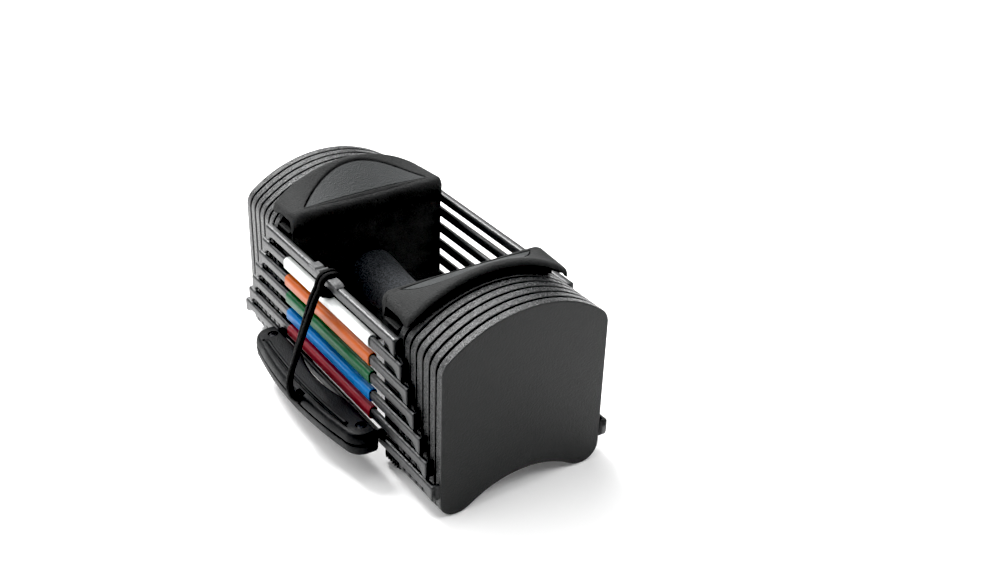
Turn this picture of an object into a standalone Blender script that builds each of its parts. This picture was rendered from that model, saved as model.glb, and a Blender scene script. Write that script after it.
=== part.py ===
"""Adjustable block dumbbell: a handle core inside seven nested weight pairs, with a selector pin.

Metres, +Z up. X runs across the dumbbell, Y along it. The pin handle is on the -X side.
Each weight pair is two end plates joined by a left and a right side rail. A pair's rails lie one step
lower than those of the pair inside it, so the pin lifts every pair whose rails are above it.
"""

from math import asin, atan2, cos, pi, radians, sin, sqrt

import bmesh
import bpy
from mathutils import Vector

MM = 0.001

# Driving dimensions
CORE_X = 12.9 * MM  # the dumbbell's mid-plane, set so that the whole object is centred on X = 0
FIT_GAP = 0.3 * MM
PAIRS = 7
LENGTH = 254 * MM
PLATE_PITCH = 7.1 * MM
PLATE_THICK = 6.0 * MM
PLATE_HALF = 58.9 * MM
PLATE_TOP = 129 * MM
SHOULDER_Z = 100 * MM
SHOULDER_R = 13 * MM
FOOT_R = 12 * MM
FOOT_INNER_X = 41 * MM
FOOT_ARCH_Z = 14 * MM
RAIL_OUT = 65.2 * MM
RAIL_THICK = 4 * MM
TOP_RAIL_THICK = 5.6 * MM
RAIL_TALL = 7 * MM
RAIL_TOP_Z = 105 * MM
RAIL_STEP = 13 * MM
TAB_TALL = 12.2 * MM
TAB_THICK = 4 * MM
FLARE = 10 * MM
BAND_LENGTH = 112 * MM
BAND_TALL = 9 * MM
BAND_WIDE = 6.2 * MM
BAND_R = 1.8 * MM
HOUSING_HALF = 57 * MM
HOUSING_IN = 59.4 * MM
HOUSING_OUT = 77.4 * MM
HOUSING_FLOOR = 4 * MM
HOUSING_TOP = 107 * MM
WALL = 3 * MM
CHANNEL_TALL = 6.8 * MM
LIP_Z = 122 * MM
LIP_Y = 58.9 * MM
RIDGE_Y = 86.8 * MM
RIDGE_TOP = 138.6 * MM
RIDGE_R = 87.6 * MM
CAP_HALF = 58.5 * MM
CAP_THICK = 3.5 * MM
CAP_ROUND = 8 * MM
BADGE_HALF = 47 * MM
BADGE_LOW_Y = 61.3 * MM
BADGE_Y = 22.6 * MM
BADGE_R = 61.5 * MM
BADGE_THICK = 0.8 * MM
HANDLE_Z = 62 * MM
GRIP_MID_R = 15 * MM
GRIP_END_R = 18 * MM
TUBE_R = 11 * MM
TUBE_BORE_R = 3.4 * MM
PRONG_R = 2.5 * MM
PRONG_Y = 68 * MM
PRONG_TIP = 66.5 * MM
FORK_BACK = 80 * MM
FORK_BEND = 6 * MM
PIN_UNDER = 6  # the pair whose rail the pin lies under
PIN_IN = 67.4 * MM
PIN_BOW = 92.3 * MM
PIN_CORNER_X = 86.5 * MM
PIN_HALF = 72 * MM
PIN_CORNER_R = 12 * MM
GAP_HALF = 30 * MM
GAP_DEEP = 5 * MM
PIN_TOP = 34.5 * MM
PIN_SEAM = 27.2 * MM
PIN_BOTTOM = 18.5 * MM
PIN_SCREW = (74.6 * MM, 61 * MM)
CORD_R = 2 * MM

XZ = (pi / 2, 0, 0)  # an outline drawn across the dumbbell and extruded along it
YZ = (pi / 2, 0, pi / 2)  # an outline drawn along the dumbbell and extruded across it
XY = (0, 0, 0)

COLOURS = {
    "plate_coat": ((0.058, 0.061, 0.061), 0.5, 0.3),
    "rail_coat": ((0.085, 0.09, 0.09), 0.45, 0.4),
    "band_white": ((0.86, 0.88, 0.87), 0.4, 0.0),
    "band_orange": ((0.70, 0.17, 0.03), 0.4, 0.0),
    "band_green": ((0.03, 0.20, 0.07), 0.4, 0.0),
    "band_blue": ((0.0, 0.20, 0.58), 0.4, 0.0),
    "band_red": ((0.25, 0.02, 0.035), 0.4, 0.0),
    "core_black": ((0.022, 0.023, 0.024), 0.55, 0.0),
    "badge_grey": ((0.045, 0.047, 0.048), 0.6, 0.0),
    "grip_foam": ((0.018, 0.019, 0.02), 0.9, 0.0),
    "steel": ((0.45, 0.45, 0.46), 0.3, 1.0),
    "pin_black": ((0.012, 0.013, 0.014), 0.4, 0.0),
    "cord_black": ((0.01, 0.01, 0.01), 0.8, 0.0),
}
BANDS = {2: "band_white", 3: "band_orange", 4: "band_green", 5: "band_blue", 6: "band_red"}


def clear_scene():
    for obj in list(bpy.data.objects):
        bpy.data.objects.remove(obj, do_unlink=True)


def material(slot):
    found = bpy.data.materials.get(slot)
    if found:
        return found
    colour, roughness, metallic = COLOURS[slot]
    made = bpy.data.materials.new(slot)
    made.use_nodes = True
    shader = made.node_tree.nodes["Principled BSDF"]
    shader.inputs["Base Color"].default_value = (*colour, 1)
    shader.inputs["Roughness"].default_value = roughness
    shader.inputs["Metallic"].default_value = metallic
    return made


def collection(name):
    made = bpy.data.collections.new(name)
    bpy.context.scene.collection.children.link(made)
    return made


clear_scene()
PARTS = collection("adjustable_dumbbell")
CUTTERS = collection("cutters")
FRAME = bpy.data.objects.new("dumbbell_frame", None)
FRAME.location.x = CORE_X
PARTS.objects.link(FRAME)


# Outlines


def arc(centre, radius, start, end, steps):
    """Points along an arc, angles in degrees, both ends included."""
    turns = [radians(start + (end - start) * i / steps) for i in range(steps + 1)]
    return [(centre[0] + radius * cos(a), centre[1] + radius * sin(a)) for a in turns]


def pair_y(pair):
    """Distance of a pair's outer plate faces from the middle."""
    return LENGTH / 2 - (PAIRS - pair) * PLATE_PITCH


def rail_z(pair):
    """Top of a pair's rails."""
    return RAIL_TOP_Z - (pair - 1) * RAIL_STEP


def plate_outline():
    """Feet and shallow arch below, upright sides, round shoulders and a crowned top."""
    chord = FOOT_INNER_X
    foot_arch_r = (chord**2 + FOOT_ARCH_Z**2) / (2 * FOOT_ARCH_Z)
    low = FOOT_ARCH_Z - foot_arch_r
    spread = 2 * asin(chord / foot_arch_r)
    arch = [
        (foot_arch_r * sin(a), low + foot_arch_r * cos(a))
        for a in (spread / 2 * i / 6 for i in range(7))
    ]
    foot = arc((PLATE_HALF - FOOT_R, FOOT_R), FOOT_R, -90, 0, 5)
    shoulder_x = PLATE_HALF - SHOULDER_R
    rise = PLATE_TOP - SHOULDER_Z
    crown_r = (shoulder_x**2 + rise**2 - SHOULDER_R**2) / (2 * (rise - SHOULDER_R))
    meet = atan2(SHOULDER_Z - (PLATE_TOP - crown_r), shoulder_x)
    shoulder = arc((shoulder_x, SHOULDER_Z), SHOULDER_R, 0, meet * 180 / pi, 5)
    crown = arc((0, PLATE_TOP - crown_r), crown_r, meet * 180 / pi, 90, 8)
    right = arch[1:] + foot + shoulder + crown[1:-1]
    return [(0, FOOT_ARCH_Z)] + right + [(0, PLATE_TOP)] + [(-x, z) for x, z in reversed(right)]


def rounded_box(x0, y0, x1, y1, radius, steps=3):
    """A rectangle with round corners, from its lowest to its highest corner."""
    corners = (
        (x1 - radius, y0 + radius, -90),
        (x1 - radius, y1 - radius, 0),
        (x0 + radius, y1 - radius, 90),
        (x0 + radius, y0 + radius, 180),
    )
    return [p for x, y, a in corners for p in arc((x, y), radius, a, a + 90, steps)]


# Solids


def tidy(mesh):
    """Welds loose caps and turns the faces outwards."""
    work = bmesh.new()
    work.from_mesh(mesh)
    bmesh.ops.remove_doubles(work, verts=work.verts, dist=1e-6)
    bmesh.ops.recalc_face_normals(work, faces=work.faces)
    work.to_mesh(mesh)
    work.free()


def placed(mesh, name, slot, location=(0, 0, 0), rotation=(0, 0, 0), cutter=False):
    obj = bpy.data.objects.new(name, mesh)
    obj.location = location
    obj.rotation_euler = rotation
    obj.parent = FRAME
    if cutter:
        CUTTERS.objects.link(obj)
        obj.hide_render = True
        obj.display_type = "WIRE"
    else:
        PARTS.objects.link(obj)
        mesh.materials.append(material(slot))
    return obj


def extruded_mesh(outline, thick):
    """A flat outline in its own XY plane, extruded half its thickness to each side."""
    curve = bpy.data.curves.new("outline", "CURVE")
    curve.dimensions = "2D"
    curve.fill_mode = "BOTH"
    curve.extrude = thick / 2
    spline = curve.splines.new("POLY")
    spline.points.add(len(outline) - 1)
    for point, (x, y) in zip(spline.points, outline):
        point.co = (x, y, 0, 1)
    spline.use_cyclic_u = True
    return curve_mesh(curve)


def curve_mesh(curve):
    """The mesh of a curve, with its caps welded, in place of the curve."""
    holder = bpy.data.objects.new("holder", curve)
    bpy.context.scene.collection.objects.link(holder)
    bpy.context.view_layer.update()
    mesh = bpy.data.meshes.new_from_object(holder.evaluated_get(bpy.context.evaluated_depsgraph_get()))
    bpy.data.objects.remove(holder, do_unlink=True)
    bpy.data.curves.remove(curve)
    tidy(mesh)
    return mesh


def extruded(name, slot, outline, thick, location, rotation=XZ, cutter=False):
    return placed(extruded_mesh(outline, thick), name, slot, location, rotation, cutter)


def box(name, slot, low, high, cutter=False):
    """A box between two corners."""
    work = bmesh.new()
    bmesh.ops.create_cube(work, size=1)
    size = Vector(high) - Vector(low)
    bmesh.ops.scale(work, vec=size, verts=work.verts)
    mesh = bpy.data.meshes.new(name)
    work.to_mesh(mesh)
    work.free()
    return placed(mesh, name, slot, (Vector(low) + Vector(high)) / 2, (0, 0, 0), cutter)


def cylinder(name, slot, radius, long, location, rotation=XZ, sides=24, cutter=False):
    work = bmesh.new()
    bmesh.ops.create_cone(
        work, cap_ends=True, segments=sides, radius1=radius, radius2=radius, depth=long
    )
    mesh = bpy.data.meshes.new(name)
    work.to_mesh(mesh)
    work.free()
    mesh.shade_smooth()
    mesh.set_sharp_from_angle(angle=radians(40))
    return placed(mesh, name, slot, location, rotation, cutter)


def turned(name, slot, profile, location, rotation, steps=28):
    """A closed profile of (radius, height), running down its outer side, turned about local Z."""
    mesh = bpy.data.meshes.new(name)
    count = len(profile)
    edges = [(i, (i + 1) % count) for i in range(count)]
    mesh.from_pydata([(r, 0, z) for r, z in profile], edges, [])
    obj = placed(mesh, name, slot, location, rotation)
    screw = obj.modifiers.new("turn", "SCREW")
    screw.steps = steps
    screw.render_steps = steps
    screw.use_merge_vertices = True
    screw.merge_threshold = 1e-6
    return obj


def boolean(obj, cutter, operation="DIFFERENCE"):
    modifier = obj.modifiers.new(operation.lower(), "BOOLEAN")
    modifier.operation = operation
    modifier.object = cutter


def tube(name, slot, points, radius, resolution=2, cutter=False):
    """A round bar along a list of points, with flat ends."""
    curve = bpy.data.curves.new(name, "CURVE")
    curve.dimensions = "3D"
    curve.bevel_depth = radius
    curve.bevel_resolution = resolution
    curve.use_fill_caps = True
    spline = curve.splines.new("POLY")
    spline.points.add(len(points) - 1)
    for point, place in zip(spline.points, points):
        point.co = (*place, 1)
    return placed(curve_mesh(curve), name, slot, cutter=cutter)


# Weight pairs


def make_plates(pair):
    mesh = extruded_mesh(plate_outline(), PLATE_THICK)
    middle = pair_y(pair) - PLATE_THICK / 2
    for end, side in (("near", -1), ("far", 1)):
        placed(mesh.copy(), f"weight_{pair}_plate_{end}", "plate_coat", (0, side * middle, 0), XZ)


def rail_plan(pair, thick):
    """Seen from above: a strap along the side with a tab bent in at each end to meet its plate."""
    outer, inner, tip = RAIL_OUT, RAIL_OUT - thick, PLATE_HALF + FIT_GAP
    end = pair_y(pair)
    bend = 3 * MM
    half = [(tip, end - TAB_THICK), (inner, end - TAB_THICK), (inner, 0)]
    outside = arc((outer - bend, end - bend), bend, 0, 90, 4) + [(tip, end)]
    top_half = [(outer, 0)] + outside + half
    return top_half + [(x, -y) for x, y in reversed(top_half[1:-1])]


def rail_side(pair):
    """Seen from the side: the strap's lower edge sweeps down at each end to the depth of its tab."""
    end, top = pair_y(pair) + MM, rail_z(pair)
    low, tab_low = top - RAIL_TALL, top - TAB_TALL
    drop = low - tab_low
    start = pair_y(pair) - FLARE
    sweep = [
        (start + (FLARE - 4 * MM) * t, low - drop * (1 - cos(t * pi / 2)))
        for t in (i / 4 for i in range(5))
    ]
    half = sweep + [(end, tab_low), (end, top)]
    return half + [(-y, z) for y, z in reversed(half)]


def make_rails(pair):
    thick = TOP_RAIL_THICK if pair == 1 else RAIL_THICK
    side = extruded_mesh(rail_side(pair), 2 * RAIL_OUT + 20 * MM)
    shape = placed(side, f"rail_side_{pair}", None, (0, 0, 0), YZ, cutter=True)
    middle = rail_z(pair) - RAIL_TALL / 2
    plan = extruded_mesh(rail_plan(pair, thick), 3 * RAIL_TALL)
    for name, turn in (("left", pi), ("right", 0)):
        obj = placed(
            plan.copy(), f"weight_{pair}_rail_{name}", "rail_coat", (0, 0, middle), (0, 0, turn)
        )
        boolean(obj, shape, "INTERSECT")


def make_band(pair):
    """The coloured sleeve on a left rail."""
    x = -(RAIL_OUT - RAIL_THICK / 2)
    z = rail_z(pair) - RAIL_TALL / 2
    outer = rounded_box(-BAND_WIDE / 2, -BAND_TALL / 2, BAND_WIDE / 2, BAND_TALL / 2, BAND_R)
    band = extruded(f"band_{pair}", BANDS[pair], outer, BAND_LENGTH, (x, 0, z))
    slot_x, slot_z = RAIL_THICK / 2 + FIT_GAP, RAIL_TALL / 2 + FIT_GAP
    hole = box(
        f"band_hole_{pair}", None, (x - slot_x, -LENGTH, z - slot_z), (x + slot_x, LENGTH, z + slot_z), True
    )
    boolean(band, hole)


# Core


def housing_outline():
    """A wall with shelves: the open channels between the shelves take the pin's prongs."""
    wall_out, shelf_out = HOUSING_IN + WALL, HOUSING_OUT
    points = [(HOUSING_IN, HOUSING_TOP), (HOUSING_IN, HOUSING_FLOOR), (shelf_out, HOUSING_FLOOR)]
    for pair in reversed(range(1, PAIRS + 1)):
        channel = rail_z(pair) - RAIL_TALL - (RAIL_STEP - RAIL_TALL) / 2
        low, high = channel - CHANNEL_TALL / 2, channel + CHANNEL_TALL / 2
        points += [(shelf_out, low), (wall_out, low), (wall_out, high), (shelf_out, high)]
    return points + [(shelf_out, HOUSING_TOP)]


def make_housing(end, side):
    outline = [(side * y, z) for y, z in housing_outline()]
    housing = extruded(f"housing_{end}", "core_black", outline, 2 * HOUSING_HALF, (0, 0, 0), YZ)
    wall = cylinder(
        f"bolt_hole_{end}", None, 3.3 * MM, 20 * MM, (0, side * HOUSING_IN, HANDLE_Z), cutter=True
    )
    pocket_y = side * (HOUSING_IN + WALL + 1.2 * MM)
    pocket = cylinder(f"bolt_pocket_{end}", None, 7.5 * MM, 2.6 * MM, (0, pocket_y, HANDLE_Z), cutter=True)
    boolean(housing, wall)
    boolean(housing, pocket)


def ridge_z(x):
    return RIDGE_TOP - RIDGE_R + sqrt(RIDGE_R**2 - x**2)


def cap_z(x, y):
    """Height of the cap: ruled from a straight lip to an arched ridge, rounded over at the two sides."""
    share = (y - LIP_Y) / (RIDGE_Y - LIP_Y)
    past = max(0, abs(x) - (CAP_HALF - CAP_ROUND))
    fall = CAP_ROUND - sqrt(max(0, CAP_ROUND**2 - past**2))
    return (1 - share) * LIP_Z + share * ridge_z(x) - fall


def between(start, stop, steps):
    return [start + (stop - start) * i / steps for i in range(steps + 1)]


def lofted(name, slot, sections):
    """A closed solid through sections of equal length, each a list of points around it."""
    work = bmesh.new()
    rings = [[work.verts.new(p) for p in section] for section in sections]
    count = len(rings[0])
    for one, two in zip(rings, rings[1:]):
        for i in range(count):
            j = (i + 1) % count
            work.faces.new((one[i], one[j], two[j], two[i]))
    work.faces.new(rings[0])
    work.faces.new(rings[-1])
    bmesh.ops.recalc_face_normals(work, faces=work.faces)
    mesh = bpy.data.meshes.new(name)
    work.to_mesh(mesh)
    work.free()
    return placed(mesh, name, slot)


def make_cap(end, side):
    """A block over each housing whose sloping roof runs on past it as a visor over the plates."""
    sections = []
    visor_y = HOUSING_OUT + 0.2 * MM
    for x in between(-CAP_HALF, CAP_HALF, 26):
        roof = [(y, cap_z(x, y)) for y in between(LIP_Y, RIDGE_Y, 6)]
        under = [(y, cap_z(x, y) - CAP_THICK) for y in (RIDGE_Y, visor_y)]
        seat = [(y, HOUSING_TOP + FIT_GAP) for y in (visor_y, LIP_Y)]
        sections.append([(x, side * y, z) for y, z in roof + under + seat])
    lofted(f"cap_{end}", "core_black", sections)


def make_badge(end, side):
    """A blank half-moon plate that follows the cap's sloping roof."""
    sections = []
    for x in between(-BADGE_HALF, BADGE_HALF, 20):
        rows = between(BADGE_LOW_Y, BADGE_Y + sqrt(BADGE_R**2 - x**2), 5)
        under = [(y, cap_z(x, y) + FIT_GAP) for y in rows]
        face = [(y, cap_z(x, y) + FIT_GAP + BADGE_THICK) for y in reversed(rows)]
        sections.append([(x, side * y, z) for y, z in under + face])
    lofted(f"badge_{end}", "badge_grey", sections)


def make_handle():
    half = HOUSING_IN - FIT_GAP
    tube_profile = [(TUBE_R, half), (TUBE_R, -half), (TUBE_BORE_R, -half), (TUBE_BORE_R, half)]
    turned("handle_tube", "steel", tube_profile, (0, 0, HANDLE_Z), XZ)
    bore = TUBE_R + FIT_GAP
    length = half - 0.5 * MM
    steps = 16
    outside = []
    for i in range(steps + 1):
        share = 1 - 2 * i / steps
        flare = max(0, (abs(share) - 0.3) / 0.7)
        smooth = flare * flare * (3 - 2 * flare)
        outside.append((GRIP_MID_R + (GRIP_END_R - GRIP_MID_R) * smooth, length * share))
    grip_profile = outside + [(bore, -length), (bore, length)]
    turned("grip", "grip_foam", grip_profile, (0, 0, HANDLE_Z), XZ)
    for end, side in (("near", -1), ("far", 1)):
        head, shank = 6.5 * MM, 3 * MM
        top = WALL + 2.0 * MM
        profile = [
            (0, top), (head, top), (head, WALL + 0.4 * MM), (shank, WALL + 0.4 * MM), (shank, -14 * MM),
            (0, -14 * MM),
        ]  # fmt: skip
        turned(
            f"handle_bolt_{end}", "steel", profile, (0, side * HOUSING_IN, HANDLE_Z),
            (-side * pi / 2, 0, 0), steps=20,
        )  # fmt: skip


# Selector pin


def pin_outline():
    """Bowed outer edge, round outer corners, straight inner edge with a shallow finger gap."""
    chord, sagitta = PIN_HALF - PIN_CORNER_R, PIN_BOW - PIN_CORNER_X
    bow_r = (chord**2 + sagitta**2) / (2 * sagitta)
    spread = asin(chord / bow_r) * 180 / pi
    bow = arc((-(PIN_BOW - bow_r), 0), bow_r, 180 - spread, 180, 6)
    turn_x = -(PIN_CORNER_X - PIN_CORNER_R)
    turn = arc((turn_x, chord), PIN_CORNER_R, 90, 180 - spread, 4)
    gap_r = (GAP_HALF**2 + GAP_DEEP**2) / (2 * GAP_DEEP)
    gap_spread = asin(GAP_HALF / gap_r) * 180 / pi
    gap = arc((-(PIN_IN + GAP_DEEP - gap_r), 0), gap_r, 180, 180 - gap_spread, 5)
    upper = gap + [(-PIN_IN, PIN_HALF)] + turn + bow[1:]
    return upper + [(x, -y) for x, y in reversed(upper[1:-1])]


def fork_path():
    """A U of round bar, from one prong's tip round the back to the other's."""
    centre = (-(FORK_BACK - FORK_BEND), PRONG_Y - FORK_BEND)
    turn = arc(centre, FORK_BEND, 90, 180, 5)
    z = pin_z()
    half = [(PRONG_TIP, PRONG_Y, z)] + [(x, y, z) for x, y in turn]
    return half + [(x, -y, z) for x, y, z in reversed(half)]


def pin_z():
    return rail_z(PIN_UNDER) - RAIL_TALL - (RAIL_STEP - RAIL_TALL) / 2


def make_pin():
    tube("pin_fork", "steel", fork_path(), PRONG_R, resolution=3)
    upper = extruded(
        "pin_shell_upper", "pin_black", pin_outline(), PIN_TOP - PIN_SEAM,
        (0, 0, (PIN_TOP + PIN_SEAM) / 2), XY,
    )  # fmt: skip
    lower_top = PIN_SEAM - FIT_GAP
    lower = extruded(
        "pin_shell_lower", "pin_black", pin_outline(), lower_top - PIN_BOTTOM,
        (0, 0, (lower_top + PIN_BOTTOM) / 2), XY,
    )  # fmt: skip
    boolean(upper, fork_channel())
    notch_y, notch_half = -10 * MM, 5 * MM
    notch = box(
        "cord_notch", None, (-PIN_BOW - MM, notch_y - notch_half, PIN_SEAM - 3 * MM),
        (-PIN_BOW + 6 * MM, notch_y + notch_half, PIN_TOP + MM), True,
    )  # fmt: skip
    boolean(upper, notch)
    x, y = PIN_SCREW
    for end, side in (("near", -1), ("far", 1)):
        place = (-x, side * y, 0)
        head = cylinder(f"screw_pocket_{end}", None, 3.6 * MM, 2.4 * MM, place, XY, 16, True)
        head.location.z = PIN_TOP
        shank = cylinder(f"screw_hole_{end}", None, 1.6 * MM, 30 * MM, place, XY, 12, True)
        shank.location.z = PIN_TOP - 10 * MM
        boolean(upper, head)
        boolean(upper, shank)
        boolean(lower, shank)
        profile = [(0, 1.0), (3.2, 1.0), (3.2, 0), (1.2, 0), (1.2, -10), (0, -10)]
        turned(
            f"pin_screw_{end}", "steel", [(r * MM, h * MM) for r, h in profile],
            (-x, side * y, PIN_TOP - 0.9 * MM), XY, steps=16,
        )  # fmt: skip


def fork_channel():
    """The groove in the upper shell that the fork lies in, open at the seam."""
    clear = PRONG_R + FIT_GAP
    centre = (-(FORK_BACK - FORK_BEND), PRONG_Y - FORK_BEND)
    outer = arc(centre, FORK_BEND + clear, 90, 180, 5)
    inner = arc(centre, FORK_BEND - clear, 90, 180, 5)
    open_x = -PIN_IN + 5 * MM
    half = [(open_x, PRONG_Y + clear)] + outer
    back = [(open_x, PRONG_Y - clear)] + inner
    outline = half + [(x, -y) for x, y in reversed(half)] + [(x, -y) for x, y in back]
    outline += list(reversed(back))
    low, high = PIN_SEAM - 5 * MM, pin_z() + clear
    return extruded("fork_channel", None, outline, high - low, (0, 0, (low + high) / 2), XY, True)


# Tether


def make_lugs():
    """Two saddles on the top left rail that keep the cord between them."""
    inner, outer = RAIL_OUT - TOP_RAIL_THICK, RAIL_OUT + 1.4 * MM
    hook = [
        (0, 0.15), (0, 2.6), (0.8, 3.5), (2.4, 3.5), (3.2, 2.8), (4.0, 1.3), (6.0, 1.2), (7.0, 2.4), (14, 2.2),
        (15.5, 1.2), (15.5, 0.15),
    ]  # fmt: skip
    ramp = [(0, 0.15), (0, 1.3), (0.8, 2.0), (6.5, 1.9), (9.0, 1.5), (11.5, 0.15)]
    for end, start, way, shape in (("near", -5.6, -1, ramp), ("far", 3.5, 1, hook)):
        outline = [((start + way * y) * MM, rail_z(1) + z * MM) for y, z in shape]
        wide = outer - inner
        extruded(f"tether_lug_{end}", "rail_coat", outline, wide, (-(inner + outer) / 2, 0, 0), YZ)


def strand_point(x, z, way):
    """One strand's middle: the two lie side by side on the rail and turn to lie one behind the other lower down."""
    share = min(1, max(0, (93 - z) / (93 - 42)))
    apart = Vector((0, 1, 0)).lerp(Vector((0.55, 0.72, -0.39)), share).normalized() * 2.05 * way
    middle_y = -1.2 - 8.8 * min(1, (93 - z) / (93 - 33.4))
    return (x + apart.x, middle_y + apart.y, z + apart.z)


def cord_route():
    """From the pin up over the first rail, round a bight under it, back over it beside itself and down again."""
    over = [
        (-70.0, 2.05, 99.8), (-68.4, 2.05, 104.4), (-66.1, 2.05, 107.2), (-62.6, 2.1, 107.8), (-58.9, 2.3, 107.2),
        (-57.2, 2.7, 104.4), (-57.1, 3.2, 99.6), (-58.3, 3.6, 96.5), (-61.2, 3.9, 95.3), (-65.4, 3.4, 95.2),
        (-67.8, 1.8, 95.2), (-68.4, 0.0, 95.2),
    ]  # fmt: skip
    strand = [
        (-95.1, 33.4), (-96.5, 39.0), (-95.5, 46.3), (-92.2, 54), (-87.9, 63.5), (-83.3, 73.5), (-78.6, 83),
        (-73.9, 92.6),
    ]  # fmt: skip
    back = [(x, -y, z) for x, y, z in reversed(over[:-1])]
    points = [(-88.9, -8.2, 29.6), (-92.3, -8.3, 30.3)]
    points += [strand_point(x, z, 1) for x, z in strand]
    points += [(x, y - 1.2, z) for x, y, z in over + back]
    points += [strand_point(x, z, -1) for x, z in reversed(strand)]
    points += [(-92.3, -11.9, 30.3), (-88.9, -12.3, 29.6)]
    return [tuple(v * MM for v in point) for point in smooth(points, 2.0)]


def smooth(knots, step):
    """Points about a step apart on a smooth curve through the knots."""
    knots = [Vector(k) for k in knots]
    ends = [2 * knots[0] - knots[1]] + knots + [2 * knots[-1] - knots[-2]]
    points = []
    for a, b, c, d in zip(ends, ends[1:], ends[2:], ends[3:]):
        count = max(1, round((c - b).length / step))
        for i in range(count):
            t = i / count
            bend = (2 * a - 5 * b + 4 * c - d) * t * t + (3 * b - a - 3 * c + d) * t**3
            points.append(tuple(b + ((c - a) * t + bend) / 2))
    return points + [tuple(knots[-1])]


for number in range(1, PAIRS + 1):
    make_plates(number)
    make_rails(number)
for number in BANDS:
    make_band(number)
for end_name, end_side in (("near", -1), ("far", 1)):
    make_housing(end_name, end_side)
    make_cap(end_name, end_side)
    make_badge(end_name, end_side)
make_handle()
make_pin()
make_lugs()
tube("tether_cord", "cord_black", cord_route(), CORD_R)
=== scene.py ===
"""The looks of the adjustable block dumbbell: detailed pieces, materials, floor, light and camera."""

from math import asin, atan2, cos, hypot, pi, radians, sin, sqrt, tan

import bmesh
import bpy
from mathutils import Matrix, Vector


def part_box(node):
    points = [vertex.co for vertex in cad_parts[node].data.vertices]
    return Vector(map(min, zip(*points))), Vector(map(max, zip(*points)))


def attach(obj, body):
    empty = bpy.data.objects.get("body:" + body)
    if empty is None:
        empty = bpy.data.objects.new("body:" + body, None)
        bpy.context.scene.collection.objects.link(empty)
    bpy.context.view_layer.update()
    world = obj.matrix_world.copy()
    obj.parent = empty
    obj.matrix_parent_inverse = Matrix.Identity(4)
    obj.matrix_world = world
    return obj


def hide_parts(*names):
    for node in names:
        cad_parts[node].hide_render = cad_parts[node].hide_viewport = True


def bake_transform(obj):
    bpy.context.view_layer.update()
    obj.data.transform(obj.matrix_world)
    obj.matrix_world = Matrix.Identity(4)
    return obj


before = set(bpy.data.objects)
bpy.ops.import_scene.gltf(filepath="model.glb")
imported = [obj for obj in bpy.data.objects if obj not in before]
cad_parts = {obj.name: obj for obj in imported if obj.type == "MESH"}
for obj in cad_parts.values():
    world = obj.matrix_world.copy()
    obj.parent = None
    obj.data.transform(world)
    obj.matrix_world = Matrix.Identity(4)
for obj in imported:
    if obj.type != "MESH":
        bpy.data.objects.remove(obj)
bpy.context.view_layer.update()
MM = 0.001


def middle(node):
    """The middle of a CAD node's box, in metres."""
    low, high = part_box(node)
    return (low + high) / 2


CORE_X = middle("weight_7_plate_near").x
SIDES = (("near", -1), ("far", 1))

# Dimensions in millimetres, across (x), along (y) and up (z) from the middle of the core

PAIRS, END_Y, PLATE_PITCH = 7, 127.0, 7.1
PLATE_HALF, PLATE_TOP, PLATE_THICK, PLATE_ROUND = 58.9, 129.0, 5.65, 0.85
SHOULDER_Z, SHOULDER_R, FOOT_R, FOOT_X, FOOT_FLAT = 100.0, 13.0, 12.0, 41.0, 4.0
ARCH_Z, ARCH_SHARE = 14.0, 0.84
RAIL_TOP, RAIL_PITCH, RAIL_OUT, RAIL_TALL, TAB_TALL = 105.0, 13.0, 65.2, 7.0, 12.2
TOP_RAIL_THICK, RAIL_THICK, RAIL_BEND, RAIL_SHEET, RAIL_ROUND = 5.4, 3.9, 1.2, 2.3, 1.85
FLARE, FLARE_POWER = 11, 1.6
BAND_HALF, BAND_WIDE, BAND_TALL, BAND_ROUND = 56.0, 3.1, 4.5, 3.0
BORE_WIDE, BORE_TALL, BORE_ROUND = 2.4, 3.9, 2.2
ROOF_Y, ROOF_Z, ROOF_LEAST_Z = 58.9, 122.0, 119.8
RIDGE_Y, RIDGE_TOP, RIDGE_R, RIDGE_BACK, RIDGE_ROUND = 86.8, 138.6, 87.6, 1.6, 3.2
CAP_HALF, CAP_END, LIP_Y, LIP_R, SEAT_Z = 57.2, 5.5, 55.8, 4.4, 107.4
BADGE_Y, BADGE_R, BADGE_LOW, BADGE_LEAST, BADGE_SINK = 22.6, 61.5, 61.3, 0.8, 1.6
HOUSING_IN, HOUSING_OUT, HOUSING_HALF, HOUSING_WALL = 59.4, 77.4, 57.0, 3.0
HOUSING_LOW, HOUSING_TOP, CHANNEL_DROP, CHANNEL_HALF = 4.0, 107.0, 3.0, 3.4
POCKET_R, POCKET_HALF, POCKET_Y, HOLE_R = 7.5, 1.3, HOUSING_IN + 4.2, 3.3
RIBS, RIB_Y, RIB_PITCH, RIB_HALF, RIB_LOW, RIB_HIGH = 6, HOUSING_IN + 3.2, 2.6, 0.5, 4.6, 10.2
HANDLE_Z, GRIP_HALF, GRIP_BORE, GRIP_R, GRIP_SWELL, GRIP_ROUND = 62.0, 58.5, 11.3, 15, 3.0, 1.5
PIN_TOP, PIN_SEAM, PIN_LOW = 34.5, 27.0, 18.5
SCREW_X, SCREW_Y = -74.6, 61
CORD_R, CORD_SHIFT = 2.0, -1.2


# Materials


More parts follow.
